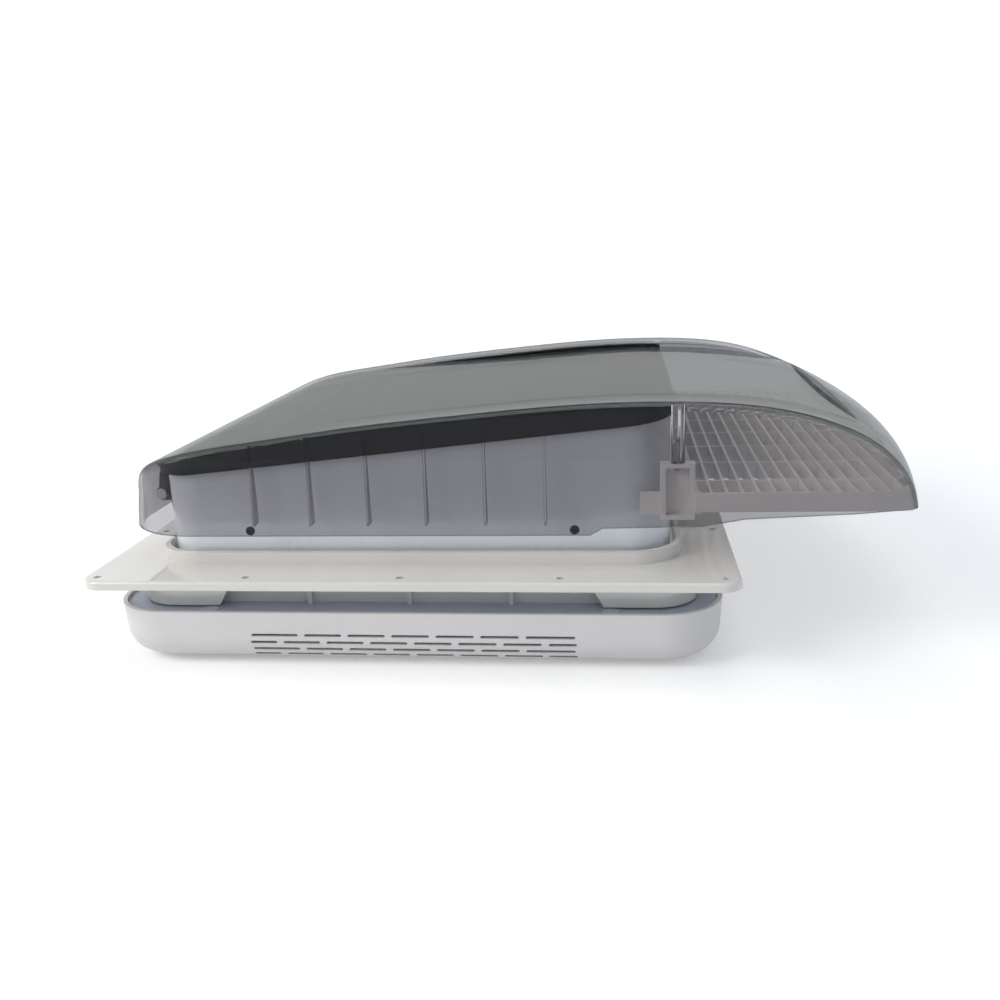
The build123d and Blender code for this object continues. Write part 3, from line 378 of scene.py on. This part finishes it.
def join(tree, parts):
    """Join several geometries."""
    node = add_node(tree, "GeometryNodeJoinGeometry")
    for part in parts:
        tree.links.new(part, node.inputs[0])
    return node.outputs[0]


def product(tree, first, second):
    """The product of two numbers inside a tree."""
    return add_node(tree, "ShaderNodeMath", {0: first, 1: second}, operation="MULTIPLY").outputs[0]


def vector(tree, x, y, z):
    """A vector from three numbers or sockets."""
    return add_node(tree, "ShaderNodeCombineXYZ", {"X": x, "Y": y, "Z": z}).outputs[0]


def grow(name, tree, seats, values, finish, body, replaced):
    """Run a tree on the seats and keep the result as a plain piece that rides a body."""
    mesh = bpy.data.meshes.new(name + "_seats")
    mesh.from_pydata([place for place, turn in seats], [], [])
    turns = mesh.attributes.new("turn", "FLOAT_VECTOR", "POINT")
    for i, (place, turn) in enumerate(seats):
        turns.data[i].vector = turn
    host = bpy.data.objects.new(name + "_host", mesh)
    bpy.context.scene.collection.objects.link(host)
    modifier = host.modifiers.new("grow", "NODES")
    modifier.node_group = tree
    for item in tree.interface.items_tree:
        if item.name in values:
            modifier[item.identifier] = values[item.name]
        elif item.name == "Finish":
            modifier[item.identifier] = finish
    shown = host.evaluated_get(bpy.context.evaluated_depsgraph_get())
    piece = bpy.data.objects.new(name, bpy.data.meshes.new_from_object(shown))
    bpy.context.scene.collection.objects.link(piece)
    bpy.data.objects.remove(host)
    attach(piece, body)
    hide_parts(*replaced)
    print(name, len(piece.data.polygons), "faces")


# %% [markdown]
# The insect net in the screen is a plain net of thin strands. A picture of a net on a flat sheet
# would be lighter, but it looks painted on from close by. So one strand is a long box that repeats
# along each side at the pitch of the net, and the strands of one direction lie on the others.

# %% Insect net
def net_tree():
    """Strands in two directions over a square."""
    tree, given, output = start_tree("insect_net", ("Side", "Pitch", "Strand", "Height"))
    side, pitch, thickness = given["Side"], given["Pitch"], given["Strand"]
    count = add_node(tree, "ShaderNodeMath", {0: side, 1: pitch}, operation="DIVIDE").outputs[0]
    first = product(tree, side, -0.5)
    layers = []
    for along_x in (True, False):
        size = (side, thickness) if along_x else (thickness, side)
        bar = add_node(tree, "GeometryNodeMeshCube",
                       {"Size": vector(tree, size[0], size[1], thickness)}).outputs[0]
        lift = product(tree, thickness, 0.5 if along_x else -0.5)
        level = add_node(tree, "ShaderNodeMath", {0: given["Height"], 1: lift}).outputs[0]
        start = vector(tree, 0.0, first, level) if along_x else vector(tree, first, 0.0, level)
        step = vector(tree, 0.0, pitch, 0.0) if along_x else vector(tree, pitch, 0.0, 0.0)
        row = add_node(tree, "GeometryNodeMeshLine",
                       {"Count": count, "Start Location": start, "Offset": step}).outputs[0]
        layers.append(add_node(tree, "GeometryNodeInstanceOnPoints",
                               {"Points": row, "Instance": bar}).outputs[0])
    end_tree(tree, join(tree, layers), given["Finish"], output)
    return tree


net_low, net_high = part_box("screen_mesh")
net_pitch = 0.0018
net_strand = 0.00035
net_sizes = {"Side": net_high.x - net_low.x, "Pitch": net_pitch, "Strand": net_strand,
             "Height": (net_low.z + net_high.z) / 2}
grow("insect_net", net_tree(), [((0, 0, 0), (0, 0, 0))], net_sizes, mesh_grey, "base",
     ["screen_mesh"])

# %% [markdown]
# Every screw has a pan head with a cross recess. The recess could be painted, but the light in its
# corners is what tells the eye that it is a screw, so a Boolean node cuts it from the head. The
# screws of one set share their size, and each set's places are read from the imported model.

# %% The screw's tree
head_sides = 28
shank_sides = 16
crown_share = 0.78
recess_length_share = 1.15
recess_width_share = 0.24


def screw_tree():
    """A screw with a cross recess on each seat, turned by the seat's own turn."""
    labels = ("Head Radius", "Head Height", "Shank Radius", "Shank Length")
    tree, given, output = start_tree("cross_head_screw", labels)
    radius, height, length = given["Head Radius"], given["Head Height"], given["Shank Length"]
    head = add_node(tree, "GeometryNodeMeshCone",
                    {"Vertices": head_sides, "Radius Bottom": radius, "Depth": height,
                     "Radius Top": product(tree, radius, crown_share)}).outputs[0]
    wide = product(tree, radius, recess_length_share)
    narrow = product(tree, radius, recess_width_share)
    arms = []
    for across in ((wide, narrow), (narrow, wide)):
        bar = add_node(tree, "GeometryNodeMeshCube",
                       {"Size": vector(tree, across[0], across[1], height)}).outputs[0]
        arms.append(add_node(tree, "GeometryNodeTransform",
                             {"Geometry": bar,
                              "Translation": vector(tree, 0.0, 0.0, height)}).outputs[0])
    cut = add_node(tree, "GeometryNodeMeshBoolean", {"Mesh 1": head}, operation="DIFFERENCE")
    for arm in arms:
        tree.links.new(arm, cut.inputs["Mesh 2"])
    shank = add_node(tree, "GeometryNodeMeshCylinder",
                     {"Vertices": shank_sides, "Radius": given["Shank Radius"],
                      "Depth": length}).outputs[0]
    shank = add_node(tree, "GeometryNodeTransform",
                     {"Geometry": shank,
                      "Translation": vector(tree, 0.0, 0.0, product(tree, length, -0.5))}).outputs[0]
    turn = add_node(tree, "GeometryNodeInputNamedAttribute", {"Name": "turn"},
                    data_type="FLOAT_VECTOR").outputs[0]
    rows = add_node(tree, "GeometryNodeInstanceOnPoints",
                    {"Points": given["Seats"], "Instance": join(tree, [cut.outputs[0], shank]),
                     "Rotation": turn}).outputs[0]
    end_tree(tree, rows, given["Finish"], output)
    return tree


screw = screw_tree()
print("screw tree with", len(screw.nodes), "nodes")

# %% [markdown]
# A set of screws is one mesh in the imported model. Points that lie closer together than any two
# screws belong to one of them, and the box around them gives that screw's middle and its length.

# %% Screws
screw_spacing = 0.012
head_height = 0.002
upside_down = (math.pi, 0.0, 0.0)
upright = (0.0, 0.0, 0.0)


def screw_boxes(name):
    """The lowest and highest corner of each screw in a node."""
    groups = []
    for vertex in nodes[name].data.vertices:
        near = [g for g in groups if (g[0].xy - vertex.co.xy).length < screw_spacing]
        if near:
            near[0].append(vertex.co.copy())
        else:
            groups.append([vertex.co.copy()])
    boxes = []
    for group in groups:
        low = Vector([min(p[i] for p in group) for i in range(3)])
        high = Vector([max(p[i] for p in group) for i in range(3)])
        boxes.append((low, high))
    return boxes


for name, heads_down, shank_radius, body in (
        ("foot_screws", True, 0.00175, "base"), ("deck_screws", False, 0.00175, "base"),
        ("trim_screws", True, 0.0018, "base"), ("post_screws", True, 0.0018, "hood")):
    boxes = screw_boxes(name)
    seats = []
    for low, high in boxes:
        middle = (low + high) / 2
        level = low.z + head_height if heads_down else high.z - head_height
        seats.append(((middle.x, middle.y, level), upside_down if heads_down else upright))
    low, high = boxes[0]
    sizes = {"Head Radius": (high.x - low.x) / 2, "Head Height": head_height,
             "Shank Radius": shank_radius, "Shank Length": high.z - low.z - head_height}
    grow("cross_head_" + name, screw, seats, sizes, screw_zinc, body, [name])

# %% [markdown]
# Four rubber bumpers sit in the lower edge of the hood. Outside they look like small dark screw
# heads, and inside a short stem rests near the housing. They could have a tree of their own, but the
# screw tree already makes a head and a stem, so it makes them too, turned sideways and in rubber.

# %% Rubber bumpers
bumper_low, bumper_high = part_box("hood_buffers")
bumper_radius = 0.0032
bumper_head = 0.0014
bumper_stem_radius = 0.0011
bumper_stem = 0.0045
bumper_level = (bumper_low.z + bumper_high.z) / 2
bumper_ends = (bumper_low.x + bumper_radius, bumper_high.x - bumper_radius)
bumper_seats = []
for side in (-1, 1):
    face = side * (bumper_high.y - bumper_head)
    bumper_seats += [((x, face, bumper_level), (-side * math.pi / 2, 0, 0)) for x in bumper_ends]
bumper_sizes = {"Head Radius": bumper_radius, "Head Height": bumper_head,
                "Shank Radius": bumper_stem_radius, "Shank Length": bumper_stem}
grow("rubber_bumpers", screw, bumper_seats, bumper_sizes, rubber, "hood",
     ["hood_buffers"])

# %% [markdown]
# The last pieces don't repeat often enough for a tree, so they are made from their points: a list
# of vertices and a list of faces. Double points are merged first, and then the normals are turned
# outwards, because a mesh that is written by hand can have faces that look inwards.

# %% Helpers for plain meshes
def append_mesh(vertices, faces, more_vertices, more_faces):
    """Add vertices and faces to the lists of a growing mesh."""
    first = len(vertices)
    vertices += more_vertices
    faces += [tuple(first + k for k in face) for face in more_faces]


def plain_piece(name, vertices, faces, finish, body):
    """A closed mesh with its normals outwards, riding a body."""
    mesh = bpy.data.meshes.new(name)
    mesh.from_pydata(vertices, [], faces)
    work = bmesh.new()
    work.from_mesh(mesh)
    bmesh.ops.remove_doubles(work, verts=work.verts, dist=1e-7)
    bmesh.ops.recalc_face_normals(work, faces=work.faces)
    work.to_mesh(mesh)
    work.free()
    mesh.materials.append(finish)
    piece = bpy.data.objects.new(name, mesh)
    bpy.context.scene.collection.objects.link(piece)
    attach(piece, body)
    print(name, len(mesh.polygons), "faces")


# %% [markdown]
# Seen from the roof side, the room frame is closed by a flat cover just below its rim, with a low
# dome over each long screw. The cover is a square ring with round corners, made from two outlines
# with as many points, and the domes are turned from a profile of five points.

# %% Cover on the room frame
rim_level = -0.019
cover_drop = 0.0022
cover_thick = 0.0015
cover_gap = 0.0034
cover_corner = 0.0387
hole_half = 0.1841
hole_corner = 0.028
cover_top = rim_level - cover_drop
cover_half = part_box("trim_frame")[1].x - cover_gap


def rounded_square(half, corner, steps=10):
    """Points of a square with round corners, anticlockwise."""
    points = []
    for quarter, (sx, sy) in enumerate(((1, 1), (-1, 1), (-1, -1), (1, -1))):
        for i in range(steps + 1):
            angle = (quarter + i / steps) * math.pi / 2
            points.append((sx * (half - corner) + corner * math.cos(angle),
                           sy * (half - corner) + corner * math.sin(angle)))
    return points


def ring_between(outer, inner, low, high):
    """Vertices and faces of a flat ring between two outlines with as many points."""
    count = len(outer)
    vertices = []
    for level in (low, high):
        vertices += [(x, y, level) for x, y in outer]
        vertices += [(x, y, level) for x, y in inner]
    faces = []
    for i in range(count):
        j = (i + 1) % count
        for a, b in ((0, 1), (1, 3), (3, 2), (2, 0)):
            faces.append((a * count + i, a * count + j, b * count + j, b * count + i))
    return vertices, faces


cover_vertices, cover_faces = ring_between(rounded_square(cover_half, cover_corner),
                                           rounded_square(hole_half, hole_corner),
                                           cover_top - cover_thick, cover_top)
print("cover outline", round(2 * cover_half, 4), "m square")

# %% [markdown]
# Each dome is a stack of rings that get narrower. Its last ring has no width at all, so its points
# fall together and are merged when the piece is made, which closes the top without a hole.

# %% Domes on the cover
dome_radius = 0.0062
dome_height = 0.001
dome_steps = 24
dome_along = 0.137
dome_across = 0.2005
dome_profile = ((1.0, 0.0), (0.97, 0.5), (0.85, 0.85), (0.6, 1.0), (0.0, 1.0))


def low_dome(x, y):
    """Vertices and faces of a closed low dome on the cover, turned from the profile."""
    vertices = []
    for reach, rise in dome_profile:
        for k in range(dome_steps):
            angle = 2 * math.pi * k / dome_steps
            vertices.append((x + reach * dome_radius * math.cos(angle),
                             y + reach * dome_radius * math.sin(angle),
                             cover_top + rise * dome_height))
    faces = []
    for ring in range(len(dome_profile) - 1):
        a = ring * dome_steps
        b = a + dome_steps
        for k in range(dome_steps):
            n = (k + 1) % dome_steps
            faces.append((a + k, a + n, b + n, b + k))
    faces.append(tuple(range(dome_steps)))
    return vertices, faces


for along in (-dome_along, dome_along):
    for side in (-1, 1):
        for x, y in ((along, side * dome_across), (side * dome_across, along)):
            append_mesh(cover_vertices, cover_faces, *low_dome(x, y))
# Painted shade: the cover is darker and bluer than the white frame, for the shade under the flange.
cover_painted_shade = satin_plastic("cover_painted_shade", (0.46, 0.51, 0.62), (0.43, 0.48, 0.58), 0.34)
plain_piece("trim_cover", cover_vertices, cover_faces, cover_painted_shade, "base")

# %% [markdown]
# The five buttons have plain raised signs: power, lid, slower, faster and mode. Each sign is one or
# more strokes of even width, drawn along a line or a ring of points. As real relief they catch the
# light like a print that is moulded in, and each rides with its button when that is pressed.

# %% Strokes for the signs
sign_width = 0.00055
sign_relief = 0.00012
sign_sink = 0.00001
sign_reach = 0.0019


def stroke(points, level, closed):
    """Vertices and faces of a flat stroke along a line, below a level."""
    count = len(points)
    vertices = []
    for i, (x, y) in enumerate(points):
        before = points[(i - 1) % count] if closed or i > 0 else points[i]
        after = points[(i + 1) % count] if closed or i < count - 1 else points[i]
        dx, dy = after[0] - before[0], after[1] - before[1]
        size = math.hypot(dx, dy)
        nx, ny = -dy / size * sign_width / 2, dx / size * sign_width / 2
        for side in (-1, 1):
            for z in (level, level - sign_relief):
                vertices.append((x + side * nx, y + side * ny, z))
    faces = []
    for i in range(count if closed else count - 1):
        a, b = 4 * i, 4 * ((i + 1) % count)
        for k, n in ((0, 1), (1, 3), (3, 2), (2, 0)):
            faces.append((a + k, a + n, b + n, b + k))
    if not closed:
        last = 4 * (count - 1)
        faces += [(0, 1, 3, 2), (last, last + 2, last + 3, last + 1)]
    return vertices, faces


def arc(start, end, radius, steps):
    """Points of an arc whose start and end are given in turns of the circle."""
    angles = [2 * math.pi * (start + (end - start) * i / steps) for i in range(steps + 1)]
    return [(radius * math.cos(a), radius * math.sin(a)) for a in angles]


power_ring = arc(0.33, 1.17, sign_reach, 30)
ring_points = 24
mode_ring = arc(0.0, 1.0 - 1 / ring_points, sign_reach, ring_points - 1)
flat_bar = [(-sign_reach, 0.0), (sign_reach, 0.0)]
upright_bar = [(0.0, -sign_reach), (0.0, sign_reach)]
low_bar = [(-sign_reach, -sign_reach), (sign_reach, -sign_reach)]
roof = [(-sign_reach, -sign_reach / 2), (0.0, sign_reach / 2), (sign_reach, -sign_reach / 2)]
power_bar = [(0.0, 0.0), (0.0, sign_reach)]
print("sign strokes", sign_width, "m wide")

# %% [markdown]
# Each sign is a list of strokes, and each stroke says whether its end joins its start. A sign is
# drawn about the origin and then moved to the middle of its button, just proud of the face.

# %% Signs on the buttons
signs = {"power": [(power_ring, False), (power_bar, False)],
         "lid": [(roof, False), (low_bar, False)],
         "slower": [(flat_bar, False)],
         "faster": [(flat_bar, False), (upright_bar, False)],
         "mode": [(mode_ring, True)]}
sign_white = satin_plastic("sign_white", (0.7, 0.7, 0.7), (0.66, 0.66, 0.66), 0.4)
for name, strokes in signs.items():
    low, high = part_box("button_" + name)
    middle = (low + high) / 2
    vertices, faces = [], []
    for points, closed in strokes:
        stroke_vertices, stroke_faces = stroke(points, low.z + sign_sink, closed)
        moved = [(x + middle.x, y + middle.y, z) for x, y, z in stroke_vertices]
        append_mesh(vertices, faces, moved, stroke_faces)
    plain_piece("sign_" + name, vertices, faces, sign_white, "button_" + name)

# %% [markdown]
# The part stands on its latches on a pale floor. To make the background white, one could light it
# hard, but that light would wash out the part. So the floor and the background glow only for the
# rays of the eye, of gloss and of glass, and all other rays meet plain soft light. The floor glows
# a little more with distance, so that it meets the white background without a line.

# %% Floor
def seen_ray(tree):
    """1 for rays of the camera, of gloss and of glass, 0 for the others."""
    path = add_node(tree, "ShaderNodeLightPath").outputs
    seen = add_node(tree, "ShaderNodeMath", {0: path["Is Camera Ray"], 1: path["Is Glossy Ray"]},
                    operation="MAXIMUM").outputs[0]
    return add_node(tree, "ShaderNodeMath", {0: seen, 1: path["Is Transmission Ray"]},
                    operation="MAXIMUM").outputs[0]


floor_height = cad_box[0][2]
floor_size = 60.0
near_glow = 0.3
far_glow = 0.75
glow_start = 0.45
glow_end = 2.5
bpy.ops.mesh.primitive_plane_add(size=floor_size, location=(0, 0, floor_height))
floor = bpy.context.object
floor.name = "floor"
material, tree, shader, place = start_material("floor_white", (0.86, 0.86, 0.86), 0.9)
distance = add_node(tree, "ShaderNodeVectorMath", {0: place}, operation="LENGTH").outputs["Value"]
glow = ramp(tree, distance, near_glow, far_glow, glow_start, glow_end)
tree.links.new(product(tree, glow, seen_ray(tree)), shader.inputs["Emission Strength"])
shader.inputs["Emission Color"].default_value = (1.0, 1.0, 1.0, 1.0)
floor.data.materials.append(material)
print("floor at", round(floor_height, 4), "m")

# %% [markdown]
# The background has two faces as well. What is seen is white near the horizon and turns to the grey
# of a ceiling high above, which the hood's top then mirrors. What lights the part is a soft bluish
# daylight from all round.

# %% Background
white_below = 0.25
ceiling_above = 0.6
ceiling_grey = (0.42, 0.46, 0.47)
daylight = (0.80, 0.89, 1.0)
daylight_strength = 0.47

world = bpy.data.worlds.new("studio")
bpy.context.scene.world = world
world.use_nodes = True
tree = world.node_tree
tree.nodes.clear()
direction = add_node(tree, "ShaderNodeTexCoord").outputs["Generated"]
rise = add_node(tree, "ShaderNodeSeparateXYZ", {"Vector": direction}).outputs["Z"]
shown_colour = mix_colours(tree, ramp(tree, rise, 0.0, 1.0, white_below, ceiling_above),
                           (1.0, 1.0, 1.0), ceiling_grey)
lit = add_node(tree, "ShaderNodeBackground",
               {"Color": (*daylight, 1.0), "Strength": daylight_strength})
shown = add_node(tree, "ShaderNodeBackground", {"Color": shown_colour, "Strength": 1.0})
mix = add_node(tree, "ShaderNodeMixShader",
               {0: seen_ray(tree), 1: lit.outputs[0], 2: shown.outputs[0]})
output = add_node(tree, "ShaderNodeOutputWorld")
tree.links.new(mix.outputs[0], output.inputs["Surface"])
print("background with", len(tree.nodes), "nodes")

# %% [markdown]
# Two wide lamps shape the part: a window on the left, a little warm, and a ceiling lamp above. The
# wider a lamp is, the softer its shadow, so both are over a metre wide.

# %% Lamps
def add_lamp(name, place, target, size, power, colour):
    """A square area lamp that points at a target."""
    data = bpy.data.lights.new(name, "AREA")
    data.shape = "SQUARE"
    data.size = size
    data.energy = power
    data.color = colour
    lamp = bpy.data.objects.new(name, data)
    ahead = (Vector(target) - Vector(place)).normalized()
    lamp.rotation_mode = "QUATERNION"
    lamp.rotation_quaternion = ahead.to_track_quat("-Z", "Y")
    lamp.location = place
    bpy.context.scene.collection.objects.link(lamp)
    print(name, power, "W")


add_lamp("window_left", place=(-1.6, -1.1, 1.3), target=(0, 0, 0.03), size=1.2, power=27.0,
         colour=(1.0, 0.95, 0.88))
add_lamp("ceiling", place=(0.3, 0.3, 2.2), target=(0.05, 0, 0.03), size=1.6, power=15.0,
         colour=(1.0, 0.99, 0.97))
